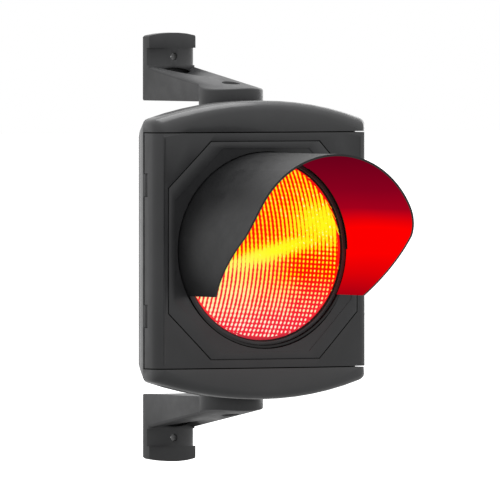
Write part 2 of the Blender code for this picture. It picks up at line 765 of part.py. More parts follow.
def make_led_optics():
    """One moulded plate whose domes gather the light of the LEDs behind them."""
    back = depth(BOWL_BACK - BOARD_THICK - 2 * TOUCH_GAP)
    front = back - 0.0015
    plate = rod("led_optics", BOWL_BACK_R - 0.005, (0, 0, 0), front, back, "Y", 40)
    places = [(0, 0)]
    for i in range(LED_COUNT):
        angle = 2 * math.pi * i / LED_COUNT
        places.append((LED_RING_R * math.cos(angle), LED_RING_R * math.sin(angle)))
    for number, (x, z) in enumerate(places):
        profile = [(0, back - 0.0005), (LED_R, back - 0.0005), (LED_R, front - 0.001)]
        profile += [(LED_R * 0.75, front - 0.0045), (LED_R * 0.35, front - 0.006), (0, front - 0.0065)]
        join(plate, turned(f"led_dome_{number}", profile, (x, 0, z), "Y", 14, 0.1))
    use_manifold(plate)
    return dress(plate, ((0.9, 0.3, 0.25), 0.1, 0.0))


def make_driver():
    """Driver board in the cup-shaped cover behind the bowl."""
    front = depth(BOWL_BACK + BOWL_WALL + TOUCH_GAP)
    back = depth(DRIVER_BACK)
    inner = DRIVER_R - BOWL_WALL
    profile = [
        (0, back - BOWL_WALL),
        (inner, back - BOWL_WALL),
        (inner, front),
        (DRIVER_R, front),
        (DRIVER_R, back - 0.002),
        (DRIVER_R - 0.002, back),
        (0, back),
    ]
    cover = turned("driver_cover", profile, (0, 0, 0), "Y", 40)
    wire_centre = (0, 0, -DRIVER_R * 0.6)
    cut(cover, rod("cover_wire_hole", 0.004, wire_centre, back - 0.006, back + 0.006))
    dress(cover, ((0.04, 0.04, 0.042), 0.5, 0.0))
    half = DRIVER_R * 0.6
    board_y = back - BOWL_WALL - 0.008
    board = block("driver_board", (-half, board_y, -half), (half, board_y + BOARD_THICK, half))
    dress(board, ((0.03, 0.22, 0.08), 0.5, 0.0))


def make_screw(name, head_y, x, z, tip_y, look):
    """Screw driven forwards: head behind, shank towards -Y."""
    profile = [
        (0, tip_y),
        (SCREW_R, tip_y),
        (SCREW_R, head_y),
        (SCREW_HEAD_R, head_y),
        (SCREW_HEAD_R, head_y + SCREW_HEAD * 0.6),
        (SCREW_HEAD_R * 0.7, head_y + SCREW_HEAD),
        (0, head_y + SCREW_HEAD),
    ]
    screw = turned(name, profile, (x, 0, z), "Y", 12)
    return dress(screw, look)


def make_screws():
    steel = ((0.6, 0.6, 0.6), 0.3, 1.0)
    for number, (x, z) in enumerate(around(PANEL_SCREW_R), 1):
        head = depth(face_depth(x) + DOOR_FACE + 0.0015)
        make_screw(f"panel_screw_{number}", head, x, z, depth(face_depth(x) + 0.0025), steel)
    for number, (x, z) in enumerate(around(OPTIC_SCREW_R), 1):
        head = depth(FLANGE_DEPTH + FLANGE_THICK + TOUCH_GAP)
        make_screw(f"optic_screw_{number}", head, x, z, depth(0.0105), steel)


# ---------------------------------------------------------------- door fittings
def make_gasket():
    half_width = HEAD_HALF_WIDTH - RIM_WIDTH - TOUCH_GAP
    half_height = DOOR_HALF_HEIGHT + SEAM_GAP - WALL - TOUCH_GAP
    front = depth(RIM_DEPTH)
    back = depth(LEDGE_DEPTH - TOUCH_GAP)
    gasket = block("door_gasket", (-half_width, front, -half_height), (half_width, back, half_height))
    width = MOUTH_HALF_WIDTH + TOUCH_GAP
    height = MOUTH_HALF_HEIGHT + TOUCH_GAP
    cut(gasket, block("gasket_hole", (-width, front - 0.01, -height), (width, back + 0.01, height)))
    return dress(gasket, ((0.01, 0.01, 0.01), 0.9, 0.0))


def make_hinge_pins():
    half = HINGE_SLOT / 2 + LUG_LENGTH
    for side, word in SIDES:
        profile = [
            (0, -half),
            (HINGE_PIN_R - 0.0005, -half),
            (HINGE_PIN_R, 0.0005 - half),
            (HINGE_PIN_R, half - 0.0005),
            (HINGE_PIN_R - 0.0005, half),
            (0, half),
        ]
        centre = (HINGE_X, depth(HINGE_DEPTH), side * HINGE_Z)
        pin = turned(word + "_hinge_pin", profile, centre, "Z", 16)
        dress(pin, ((0.6, 0.6, 0.6), 0.3, 1.0))


def make_latches():
    """Coin-slot latch: a head, a shaft through the skirt, and a hook that turns onto a pin."""
    y = depth(LATCH_DEPTH)
    for side, word in SIDES:
        z = side * LATCH_Z
        centre = (0, y, z)
        head_face = HEAD_HALF_WIDTH + TOUCH_GAP
        head_top = head_face + LATCH_HEAD
        hook_in = HOOK_X - HOOK_THICK / 2
        profile = [
            (0, hook_in - 0.001),
            (LATCH_SHAFT_R + 0.003, hook_in - 0.001),
            (LATCH_SHAFT_R + 0.003, HOOK_X + HOOK_THICK / 2 + 0.0002),
            (LATCH_SHAFT_R, HOOK_X + HOOK_THICK / 2 + 0.0002),
            (LATCH_SHAFT_R, head_face),
            (LATCH_HEAD_R, head_face),
            (LATCH_HEAD_R, head_top - 0.0007),
            (LATCH_HEAD_R - 0.0007, head_top),
            (0, head_top),
        ]
        latch = turned(word + "_latch", profile, centre, "X", 20)
        slot_low = (head_top - 0.0012, y - 0.0012, z - 0.02)
        slot = block(word + "_coin_slot", slot_low, (0.16, y + 0.0012, z + 0.02))
        hook = prism(word + "_hook", hook_outline(y, z, side), hook_in, HOOK_X + HOOK_THICK / 2, "X")
        join(latch, hook)
        cut(latch, slot)
        use_manifold(latch)
        dress(latch, ((0.6, 0.6, 0.6), 0.35, 1.0))
        pin_y = y + LATCH_PIN_REACH
        start = HOOK_X - 0.0035
        pin = rod(word + "_catch_pin", LATCH_PIN_R, (0, pin_y, z), start, POST_X + 0.0035, "X")
        dress(pin, ((0.6, 0.6, 0.6), 0.3, 1.0))


def hook_outline(y, z, side, steps=6):
    """Hook between two fingers on arcs about the latch's axis, with its mouth leading.

    It lies along Z towards the middle of the door, and turns to +Y to lock.
    """
    inner = LATCH_PIN_REACH - LATCH_PIN_R - HOOK_PLAY
    outer = LATCH_PIN_REACH + LATCH_PIN_R + HOOK_PLAY
    tip = outer + LATCH_FINGER
    base = inner - LATCH_FINGER
    mouth = math.radians(14)
    slot_end = math.radians(-7)
    heel = math.radians(-15)

    def at(radius, angle):
        along = radius * math.cos(angle)
        across = radius * math.sin(angle)
        return (y + across, z - side * along)

    def arc(radius, first, last):
        return [at(radius, first + (last - first) * i / steps) for i in range(steps + 1)]

    points = [at(HOOK_ROOT, math.pi / 2), at(base, mouth)]
    points += arc(inner, mouth, slot_end) + arc(outer, slot_end, mouth) + arc(tip, mouth, heel)
    return points + [at(base, heel), at(HOOK_ROOT, -math.pi / 2)]


# ---------------------------------------------------------------- fittings in the housing
def make_wall_fittings():
    """Blanking plug in the cable entry, and a breather, both through the rear wall."""
    back = TAPER[-1][0]
    for name, radius, z in (("entry_plug", ENTRY_R, ENTRY_Z), ("breather", VENT_R, VENT_Z)):
        face = depth(back + TOUCH_GAP)
        head = radius * 1.35
        profile = [
            (0, face - WALL - 0.005),
            (radius, face - WALL - 0.005),
            (radius, face),
            (head, face),
            (head, face + 0.003),
            (head - 0.001, face + 0.004),
            (0, face + 0.004),
        ]
        piece = turned(name, profile, (0, 0, z), "Y", 24)
        dress(piece, ((0.02, 0.02, 0.02), 0.6, 0.0))


def make_terminals():
    """Terminal block on a rail that stands off the rear wall."""
    wall = depth(TAPER[-1][0] - WALL - TOUCH_GAP)
    rail_front = wall - 0.006
    low = (-RAIL_HALF, rail_front, RAIL_Z - 0.009)
    rail = block("terminal_rail", low, (RAIL_HALF, wall, RAIL_Z + 0.009))
    hollow_half = RAIL_HALF - 0.008
    hollow_low = (-hollow_half, rail_front + 0.0015, RAIL_Z - 0.02)
    cut(rail, block("rail_hollow", hollow_low, (hollow_half, wall + 0.01, RAIL_Z + 0.02)))
    dress(rail, ((0.6, 0.6, 0.6), 0.35, 1.0))
    face = rail_front - TOUCH_GAP
    front = face - 0.0115
    block_low = (-BLOCK_HALF, front, RAIL_Z - BLOCK_HALF_HEIGHT)
    terminals = block("terminal_block", block_low, (BLOCK_HALF, face, RAIL_Z + BLOCK_HALF_HEIGHT))
    pitch = 2 * BLOCK_HALF / TERMINAL_COUNT
    for i in range(TERMINAL_COUNT):
        x = pitch * (i + 0.5) - BLOCK_HALF
        place = (x, 0, RAIL_Z)
        well = (WELL_R, place, front - 0.01, front + 0.006, "Y", 12)
        cut(terminals, rod(f"screw_well_{i}", *well))
        for end in (-1, 1):
            way = (WELL_R, (x, front + 0.0088, RAIL_Z + end * BLOCK_HALF_HEIGHT), -0.004, 0.004, "Z", 12)
            cut(terminals, rod(f"wire_way_{i}_{end}", *way))
        screw_r = WELL_R - TOUCH_GAP
        screw = rod(f"terminal_screw_{i + 1}", screw_r, place, front + 0.003, front + 0.0057, "Y", 12)
        dress(screw, ((0.6, 0.6, 0.6), 0.3, 1.0))
    dress(terminals, ((0.75, 0.75, 0.7), 0.5, 0.0))


# ---------------------------------------------------------------- brackets
def arch(half_width, side, middle, steps=10):
    """Arched upper edge, right to left, through (half_width, side) and (0, middle)."""
    rise = middle - side
    radius = (half_width**2 + rise**2) / (2 * rise)
    points = []
    for i in range(steps + 1):
        x = half_width * (1 - 2 * i / steps)
        points.append((x, middle - radius + math.sqrt(radius**2 - x * x)))
    return points


def make_bracket(side, word):
    """Cast arm: a hub over the swivel bolt, a crowned arm and a saddle for the pole."""
    centre = (0, PIVOT_Y, 0)
    top = side * 0.21
    bracket = rod(word + "_bracket", HUB_R, centre, side * HUB_BOTTOM, top, "Z", 48)
    arm_low = (-ARM_HALF_WIDTH, PIVOT_Y, side * ARM_BOTTOM)
    arm_far = depth(SADDLE_FRONT + 0.002)
    join(bracket, block_between(word + "_arm", arm_low, (ARM_HALF_WIDTH, arm_far, top - side * 0.001)))
    roof_rings = []
    hub_front = depth(PIVOT_DEPTH - HUB_R)
    saddle_face = depth(SADDLE_FRONT)
    slope = (ARM_TOP_BACK - ARM_TOP_FRONT) / (saddle_face - hub_front)
    for y in (hub_front - 0.01, PIVOT_Y, depth(0.15), saddle_face + 0.01):
        crest = ARM_TOP_FRONT + slope * (y - hub_front)
        roof = [(x, y, side * z) for x, z in arch(0.040, crest - ARM_CROWN, crest)]
        roof_rings.append(roof + [(-0.040, y, side * 0.150), (0.040, y, side * 0.150)])
    keep_common(bracket, loft(word + "_roof", roof_rings))
    trough_z = side * (TROUGH_BOTTOM + TROUGH_R)
    trough_end = saddle_face + 0.006
    cut(bracket, rod(word + "_trough", TROUGH_R, (0, 0, trough_z), PIVOT_Y, trough_end, "Y", 64))
    join(bracket, make_saddle(side, word))
    lip_top = arch(LIP_HALF, LIP_SIDE_Z, LIP_TOP_Z)
    lip_low = [(x, 2 * LIP_SIDE_Z - z) for x, z in arch(LIP_HALF, LIP_SIDE_Z, 2 * LIP_SIDE_Z - TROUGH_BOTTOM)]
    pocket = [(x, side * z) for x, z in lip_top + lip_low[-2:0:-1]]
    cut(bracket, prism(word + "_lip_pocket", pocket, saddle_face - 0.006, saddle_face + LIP_DEPTH, "Y"))
    recess = rod(word + "_recess_bore", PIVOT_RECESS_R, centre, side * PIVOT_HEAD_Z, side * 0.25, "Z", 24)
    bolt_r = PIVOT_BOLT_R + RUNNING_GAP
    hole = rod(word + "_hub_hole", bolt_r, centre, side * 0.15, side * 0.25, "Z", 24)
    cut(bracket, recess, hole)
    use_manifold(bracket)
    return dress(bracket, ((0.07, 0.071, 0.074), 0.5, 0.0))


def block_between(name, one, other):
    """A block between two opposite corners given in any order."""
    low = [min(a, b) for a, b in zip(one, other)]
    high = [max(a, b) for a, b in zip(one, other)]
    return block(name, low, high)


def bowed_front(half_width, corner_y, bulge, steps=12):
    """Plan points, left to right, of an edge that bulges towards -Y in the middle."""
    radius = (half_width**2 + bulge**2) / (2 * bulge)
    points = []
    for i in range(steps + 1):
        x = half_width * (2 * i / steps - 1)
        points.append((x, corner_y - bulge + radius - math.sqrt(radius**2 - x * x)))
    return points


def make_saddle(side, word):
    half = SADDLE_HALF_WIDTH
    front = bowed_front(half, depth(SADDLE_FRONT), SADDLE_BULGE)
    relief = bowed_front(half - POLE_LAND, 0, POLE_NOTCH, 8)
    outline = front + [(half, 0)] + relief[::-1] + [(-half, 0)]
    saddle = prism(word + "_saddle", outline, side * ARM_BOTTOM, side * (SADDLE_CREST_Z + 0.004))
    crest = [(x, side * z) for x, z in arch(half, SADDLE_CORNER_Z, SADDLE_CREST_Z)]
    shape = crest + [(-half, side * (ARM_BOTTOM - 0.01)), (half, side * (ARM_BOTTOM - 0.01))]
    shape = [(x * 1.001, z) for x, z in shape]
    keep_common(saddle, prism(word + "_crest", shape, -0.03, 0.01, "Y"))
    wide = half + 0.001
    floor = bowed_front(wide, depth(SADDLE_FRONT + BAND_DEPTH), SADDLE_BULGE + BAND_DEPTH)
    channel = [(-wide, -0.05), (wide, -0.05)] + floor[::-1]
    centre_z = side * BAND_CENTRE_Z
    half_band = BAND_HEIGHT / 2
    cut(saddle, prism(word + "_band_channel", channel, centre_z - half_band, centre_z + half_band))
    cut(saddle, rod(word + "_bolt_hole", BOLT_HOLE_R, (0, 0, centre_z), -0.03, 0.01, "Y", 20))
    return saddle


def make_pivot(side, word):
    """Hollow swivel bolt with its washer and nut inside the housing, and the seat disc."""
    centre = (0, PIVOT_Y, 0)
    steel = ((0.6, 0.6, 0.6), 0.3, 1.0)
    head = side * (PIVOT_HEAD_Z + TOUCH_GAP)
    washer_top = BOLT_SEAT - TOUCH_GAP
    nut_top = washer_top - WASHER - TOUCH_GAP
    nut_base = nut_top - NUT_HEIGHT
    tip = side * (nut_base - 0.003)
    profile = [
        (PIVOT_CABLE_R, tip),
        (PIVOT_BOLT_R, tip),
        (PIVOT_BOLT_R, head),
        (PIVOT_HEAD_R, head),
        (PIVOT_HEAD_R, head + side * 0.005),
        (PIVOT_CABLE_R, head + side * 0.005),
    ]
    bolt = turned(word + "_pivot_bolt", profile, centre, "Z", 24)
    dress(bolt, steel)
    bore = PIVOT_BOLT_R + TOUCH_GAP

    def ring(name, radius, low, high, steps):
        return tube(word + name, bore, radius, centre, side * low, side * high, "Z", steps)

    disc = ring("_seat_disc", DISC_R, SEAT_TOP + TOUCH_GAP, HUB_BOTTOM - TOUCH_GAP, 40)
    dress(disc, ((0.02, 0.02, 0.02), 0.7, 0.0))
    dress(ring("_pivot_washer", NUT_R + 0.003, washer_top - WASHER, washer_top, 28), steel)
    nut = ring("_pivot_nut", NUT_R, nut_base, nut_top, 24)
    limit = (NUT_R, centre, side * (nut_base - 0.01), side * (nut_top + 0.01), "Z", 6)
    keep_common(nut, rod(word + "_hexagon", *limit))
    dress(nut, steel)


if __name__ == "__main__":
    clear_scene()
    make_housing()
    make_door()
    make_panel()
    make_visor()
    make_lens_ring()
    make_lens_seal()
    make_outer_lens()
    make_inner_lens()
    make_bowl()
    make_led_board()
    make_led_optics()
    make_driver()
    make_screws()
    make_gasket()
    make_hinge_pins()
    make_latches()
    make_wall_fittings()
    make_terminals()
    for side, word in SIDES:
        make_bracket(side, word)
        make_pivot(side, word)
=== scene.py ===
"""Looks of a traffic signal head: moulded plastic shells, a glowing red optic and two brackets."""

import json
import math

import bmesh
import bpy
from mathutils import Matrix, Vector

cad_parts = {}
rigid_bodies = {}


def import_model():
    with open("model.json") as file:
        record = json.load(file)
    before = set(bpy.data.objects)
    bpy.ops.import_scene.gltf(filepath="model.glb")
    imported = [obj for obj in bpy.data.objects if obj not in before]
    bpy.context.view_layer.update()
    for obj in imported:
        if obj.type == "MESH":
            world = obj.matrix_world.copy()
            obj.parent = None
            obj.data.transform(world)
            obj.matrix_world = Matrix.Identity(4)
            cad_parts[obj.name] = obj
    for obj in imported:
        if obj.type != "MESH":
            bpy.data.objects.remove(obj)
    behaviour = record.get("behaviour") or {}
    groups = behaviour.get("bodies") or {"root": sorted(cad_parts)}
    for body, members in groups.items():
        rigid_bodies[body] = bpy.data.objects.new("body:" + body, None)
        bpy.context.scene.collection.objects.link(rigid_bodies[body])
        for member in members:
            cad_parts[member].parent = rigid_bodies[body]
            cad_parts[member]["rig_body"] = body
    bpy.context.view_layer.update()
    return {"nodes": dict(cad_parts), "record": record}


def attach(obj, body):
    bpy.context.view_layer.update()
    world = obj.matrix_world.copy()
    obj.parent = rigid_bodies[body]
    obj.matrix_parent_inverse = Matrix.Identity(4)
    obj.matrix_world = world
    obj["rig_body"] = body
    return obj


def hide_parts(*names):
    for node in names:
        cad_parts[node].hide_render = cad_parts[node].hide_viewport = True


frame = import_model()
bpy.context.scene.view_settings.view_transform = "Standard"

# Sizes are in metres. The lens looks along -y, x is to the viewer's right and z is up.
MM = 0.001
FACE_Y = -0.226  # foremost line of the door's face
PIVOT_Y = -0.1465  # upright swivel axis

# Outer lens
LENS_PITCH_X = 5.2 * MM  # width of one prism
LENS_PITCH_Z = 5.0 * MM  # height of one prism
LENS_R = 0.1004
LENS_EDGE_Y = FACE_Y + 0.008
LENS_BULGE = 0.0045
LENS_RIM_DEPTH = 3 * MM
LENS_SIDES = 144
PRISM_R = 0.0975  # outer radius of the field of prisms
CUT_MERGE = 0.00002  # points nearer to a cut than this are taken as on it

# Visor: reaches are ahead of the face, heights are from the lens axis
VISOR_R = 0.109
VISOR_WALL = 2.4 * MM
HOOD_REACH = 0.156
SHOULDER_REACH = 0.153
SHOULDER_Z = 0.058
SHOULDER_R = 0.060
SHOULDER_CUTS = 9
HOOD_SLANT = math.radians(38.5)
HOOD_BOTTOM = -0.0505
HOOD_FOOT = 0.052
HOOD_FOOT_R = 4 * MM
HOOD_FOOT_CUTS = 4
COLLAR_FRONT = 0.0035
COLLAR_BACK = 0.0060
FLANGE_FRONT = 0.0128
FLANGE_BACK = 0.0149
FLANGE_R = 0.1139
TUBE_SIDES = 168
# The lining faces picked with this test are given a painted red glow, painted light standing in for the
# lamp.
INWARD = -0.95  # a face of the lining turns at least this far towards the axis

# Bracket: depths are y, heights are distances from the lens axis
ARM_HALF_WIDTH = 0.030
ARM_EDGE_SLACK = 0.0005
ARM_FRONT = -0.135
ARM_REAR = -0.0135
ARM_LOW = 0.176
ARM_HIGH = 0.207
SADDLE_SIDE = 0.0293
SADDLE_FRONT = -0.0160
SADDLE_REAR = -0.0045
SADDLE_LOW = 0.1655
SADDLE_HIGH = 0.2365
HUB_REACH = 0.0345
HUB_BEHIND = 0.012
HUB_LOW = 0.170

# Light and view
FRONT_LIGHT = 0.68  # strength of the room in front of the object
BACK_LIGHT = 0.88  # strength of the room behind it
LOW_LIGHT = 0.55  # factor on both for light from below
HIGH_LIGHT = 1.30  # factor on both for light from above
FLOOR_Z = -0.31
FLOOR_SIZE = 60
FLOOR_GLOW = 0.80
CAMERA_AWAY = 20.0
CAMERA_SENSOR = 36
CAMERA_CLIP = 60
SEEN_WIDTH = 0.563  # width of the view at the object

# Colours
DARK_GREY = (0.0370, 0.0375, 0.0390)
BRACKET_GREY = (0.0390, 0.0395, 0.0410)
VISOR_GREY = (0.0120, 0.0122, 0.0130)
PLAIN_WHITE = (1, 1, 1, 1)


# ---------------------------------------------------------------- material tools
class Nodes:
    """Short ways to add and link shader nodes in one material."""

    def __init__(self, name):
        self.material = bpy.data.materials.new(name)
        self.material.use_nodes = True
        self.tree = self.material.node_tree
        self.shader = self.tree.nodes["Principled BSDF"]
        self.place = self.add("ShaderNodeTexCoord").outputs["Object"]

    def add(self, kind, **settings):
        """A new node with these settings."""
        node = self.tree.nodes.new(kind)
        for key, value in settings.items():
            setattr(node, key, value)
        return node

    def link(self, output, socket):
        self.tree.links.new(output, socket)

    def noise(self, scale, detail=4.0, roughness=0.55):
        """Cloudy noise fixed to the piece, so it moves with it."""
        node = self.add("ShaderNodeTexNoise")
        node.inputs["Scale"].default_value = scale
        node.inputs["Detail"].default_value = detail
        node.inputs["Roughness"].default_value = roughness
        self.link(self.place, node.inputs["Vector"])
        return node.outputs["Fac"]

    def spread(self, value, low, high, out_low, out_high):
        """Map a value from one range to another, held at both ends."""
        node = self.add("ShaderNodeMapRange")
        node.inputs["From Min"].default_value = low
        node.inputs["From Max"].default_value = high
        node.inputs["To Min"].default_value = out_low
        node.inputs["To Max"].default_value = out_high
        self.link(value, node.inputs["Value"])
        return node.outputs["Result"]

    def sum(self, operation, *values):
        """One step of arithmetic on numbers or outputs."""
        node = self.add("ShaderNodeMath", operation=operation)
        for socket, value in zip(node.inputs, values):
            if isinstance(value, (int, float)):
                socket.default_value = value
            else:
                self.link(value, socket)
        return node.outputs[0]

    def mix(self, factor, first, second):
        """The first colour at factor 0, the second at factor 1."""
        node = self.add("ShaderNodeMix", data_type="RGBA")
        sockets = (node.inputs["Factor"], node.inputs[6], node.inputs[7])
        for socket, value in zip(sockets, (factor, first, second)):
            if isinstance(value, (int, float)):
                socket.default_value = value
            elif isinstance(value, tuple):
                socket.default_value = (*value, 1)
            else:
                self.link(value, socket)
        return node.outputs[2]

    def ramp(self, value, stops):
        """A colour ramp through (place, colour) stops."""
        node = self.add("ShaderNodeValToRGB")
        elements = node.color_ramp.elements
        while len(elements) < len(stops):
            elements.new(0.5)
        for element, (place, colour) in zip(elements, stops):
            element.position = place
            element.color = (*colour, 1)
        self.link(value, node.inputs["Fac"])
        return node.outputs["Color"]

    def bump(self, height, strength, distance):
        """Roughen the shading by this height, without moving the surface."""
        node = self.add("ShaderNodeBump")
        node.inputs["Strength"].default_value = strength
        node.inputs["Distance"].default_value = distance
        self.link(height, node.inputs["Height"])
        self.link(node.outputs["Normal"], self.shader.inputs["Normal"])

    def axes(self):
        """The three coordinates of the piece, each as an output."""
        node = self.add("ShaderNodeSeparateXYZ")
        self.link(self.place, node.inputs["Vector"])
        return node.outputs["X"], node.outputs["Y"], node.outputs["Z"]

    def set(self, **values):
        """Set inputs of the shader by name, with _ for each space."""
        for name, value in values.items():
            self.shader.inputs[name.replace("_", " ")].default_value = value


def moulded_plastic(name, colour, roughness, grain=0.06):
    """Matt moulded plastic: fine spark-eroded grain, faint clouding and dust."""
    nodes = Nodes(name)
    clouds = nodes.noise(9.0, 3.0)
    dust = nodes.noise(60.0, 5.0, 0.65)
    lighter = tuple(channel * 1.16 for channel in colour)
    darker = tuple(channel * 0.88 for channel in colour)
    base = nodes.mix(nodes.spread(clouds, 0.35, 0.65, 0, 1), darker, lighter)
    dusty = tuple(channel * 1.5 + 0.006 for channel in colour)
    tinted = nodes.mix(nodes.spread(dust, 0.62, 0.80, 0, 0.35), base, dusty)
    nodes.link(tinted, nodes.shader.inputs["Base Color"])
    rough = nodes.spread(dust, 0.3, 0.7, roughness - 0.05, roughness + 0.07)
    nodes.link(rough, nodes.shader.inputs["Roughness"])
    fine = nodes.noise(1900.0, 2.0, 0.5)
    nodes.bump(fine, grain, 0.15 * MM)
    nodes.set(IOR=1.5)
    return nodes.material


def rubber(name, colour=(0.010, 0.010, 0.010)):
    """Black rubber with a pale speckled bloom."""
    nodes = Nodes(name)
    speckle = nodes.noise(420.0, 3.0)
    share = nodes.spread(speckle, 0.4, 0.8, 0, 0.5)
    bloom = nodes.mix(share, colour, (0.03, 0.03, 0.032))
    nodes.link(bloom, nodes.shader.inputs["Base Color"])
    nodes.link(nodes.spread(speckle, 0.3, 0.7, 0.7, 0.9), nodes.shader.inputs["Roughness"])
    nodes.bump(speckle, 0.15, 0.1 * MM)
    return nodes.material


def plated_steel(name):
    """Zinc-plated steel with turning marks, handling smears and small dull spots."""
    nodes = Nodes(name)
    smears = nodes.noise(130.0, 4.0)
    spots = nodes.noise(900.0, 3.0)
    smeared = nodes.spread(smears, 0.3, 0.7, 0, 1)
    tone = nodes.mix(smeared, (0.50, 0.50, 0.49), (0.68, 0.67, 0.64))
    dulled = nodes.spread(spots, 0.68, 0.8, 0, 0.6)
    base = nodes.mix(dulled, tone, (0.22, 0.21, 0.2))
    nodes.link(base, nodes.shader.inputs["Base Color"])
    nodes.link(nodes.spread(smears, 0.3, 0.7, 0.24, 0.42), nodes.shader.inputs["Roughness"])
    nodes.bump(spots, 0.12, 0.05 * MM)
    nodes.set(Metallic=1.0)
    return nodes.material


def circuit_board(name, mask, track):
    """Solder mask over a weave of copper tracks."""
    nodes = Nodes(name)
    brick = nodes.add("ShaderNodeTexBrick")
    brick.inputs["Scale"].default_value = 210.0
    brick.inputs["Mortar Size"].default_value = 0.012
    brick.inputs["Color1"].default_value = (*mask, 1)
    brick.inputs["Color2"].default_value = (*(c * 0.9 for c in mask), 1)
    brick.inputs["Mortar"].default_value = (*track, 1)
    turn = nodes.add("ShaderNodeMapping")
    turn.inputs["Rotation"].default_value = (math.pi / 2, 0, 0)
    nodes.link(nodes.place, turn.inputs["Vector"])
    nodes.link(turn.outputs["Vector"], brick.inputs["Vector"])
    cloud = nodes.noise(240.0)
    shade = nodes.mix(nodes.spread(cloud, 0.4, 0.7, 0, 0.25), brick.outputs["Color"], track)
    nodes.link(shade, nodes.shader.inputs["Base Color"])
    nodes.link(nodes.spread(cloud, 0.3, 0.7, 0.3, 0.45), nodes.shader.inputs["Roughness"])
    nodes.bump(brick.outputs["Fac"], 0.2, 0.1 * MM)
    return nodes.material


def soft_spot(nodes, x, z, centre, size):
    """1 at a place on the lens, falling softly to 0 around it."""
    away_x = nodes.sum("DIVIDE", nodes.sum("SUBTRACT", x, centre[0]), size[0])
    away_z = nodes.sum("DIVIDE", nodes.sum("SUBTRACT", z, centre[1]), size[1])
    square_x = nodes.sum("MULTIPLY", away_x, away_x)
    square_z = nodes.sum("MULTIPLY", away_z, away_z)
    squared = nodes.sum("ADD", square_x, square_z)
    return nodes.sum("EXPONENT", nodes.sum("MULTIPLY", squared, -1.0))


def ripple(nodes, value, pitch):
    """0 to 1 and back for each cell of this pitch."""
    wave = nodes.sum("COSINE", nodes.sum("MULTIPLY", value, 2 * math.pi / pitch))
    return nodes.spread(wave, -1.0, 1.0, 0.0, 1.0)


def lit_lens(name):
    """Red prism lens, lit from behind: yellow where the lamp shows through, paler lower down."""
    nodes = Nodes(name)
    x, _, z = nodes.axes()
    bow = nodes.sum("MULTIPLY", nodes.sum("MULTIPLY", z, z), 2.0)
    columns = ripple(nodes, nodes.sum("ADD", x, bow), LENS_PITCH_X)
    rows = ripple(nodes, nodes.sum("ADD", z, nodes.sum("MULTIPLY", x, 0.06)), LENS_PITCH_Z)
    slope = nodes.sum("SUBTRACT", z, nodes.sum("MULTIPLY", x, 0.24))
    right = nodes.spread(x, -0.015, 0.055, 0.0, 1.0)
    left = nodes.spread(x, -0.035, 0.035, 1.0, 0.0)
    below = nodes.spread(slope, -0.020, -0.008, 1.0, 0.0)
    low = nodes.spread(z, -0.085, -0.030, 1.0, 0.0)
    right_below = nodes.sum("MULTIPLY", right, below)
    share = nodes.sum("MAXIMUM", nodes.sum("MULTIPLY", right_below, 0.75), 0.22)
    share = nodes.sum("MAXIMUM", share, nodes.sum("MULTIPLY", low, 0.65))
    gaps = nodes.sum("MULTIPLY", share, nodes.sum("SUBTRACT", 1.0, rows))
    cells = nodes.sum("MULTIPLY", columns, nodes.sum("SUBTRACT", 1.0, gaps))
    patchy = nodes.noise(30.0, 3.0)
    glitter = nodes.noise(300.0, 2.0)
    band = soft_spot(nodes, x, slope, (0.022, -0.004), (0.060, 0.0105))
    corner = soft_spot(nodes, x, z, (0.074, 0.030), (0.040, 0.028))
    hot = nodes.sum("MAXIMUM", band, nodes.sum("MULTIPLY", corner, 0.85))
    pale_left = nodes.sum("MULTIPLY", left, nodes.spread(slope, -0.004, 0.004, 1.0, 0.0))
    calm = soft_spot(nodes, x, z, (-0.004, 0.030), (0.040, 0.030))
    reach = nodes.sum("ADD", cells, nodes.sum("MULTIPLY", hot, 0.84))
    reach = nodes.sum("SUBTRACT", reach, nodes.sum("MULTIPLY", calm, 0.16))
    reach = nodes.sum("ADD", reach, nodes.sum("MULTIPLY", pale_left, 0.10))
    reach = nodes.sum("ADD", reach, nodes.spread(patchy, 0.35, 0.65, -0.07, 0.07))
    reach = nodes.sum("ADD", reach, nodes.spread(glitter, 0.3, 0.7, -0.12, 0.12))
    bright = nodes.spread(reach, 0.38, 0.76, 0.0, 1.0)
    light = nodes.mix(pale_left, (1.0, 0.80, 0.008), (1.0, 0.95, 0.20))
    light = nodes.mix(low, light, (1.0, 0.88, 0.70))
    light = nodes.mix(nodes.sum("MULTIPLY", hot, 0.9), light, (1.0, 0.98, 0.01))
    crimson = nodes.sum("MAXIMUM", nodes.sum("MULTIPLY", pale_left, 0.75), low)
    ground = nodes.mix(crimson, (1.0, 0.006, 0.000), (0.90, 0.018, 0.045))
    colour = nodes.mix(bright, ground, light)
    glints = nodes.sum("ADD", cells, nodes.spread(glitter, 0.5, 0.72, 0.0, 0.7))
    sparks = nodes.spread(glints, 1.15, 1.5, 0.0, 0.75)
    sparks = nodes.sum("MULTIPLY", sparks, nodes.sum("MAXIMUM", right, low))
    colour = nodes.mix(sparks, colour, (1.0, 0.97, 0.80))
    nodes.link(colour, nodes.shader.inputs["Emission Color"])
    nodes.bump(glitter, 0.1, 0.1 * MM)
    nodes.set(Base_Color=(0.02, 0.0, 0.0, 1), Emission_Strength=1.0, Roughness=0.25, IOR=1.49)
    nodes.set(Specular_IOR_Level=0.05)
    return nodes.material


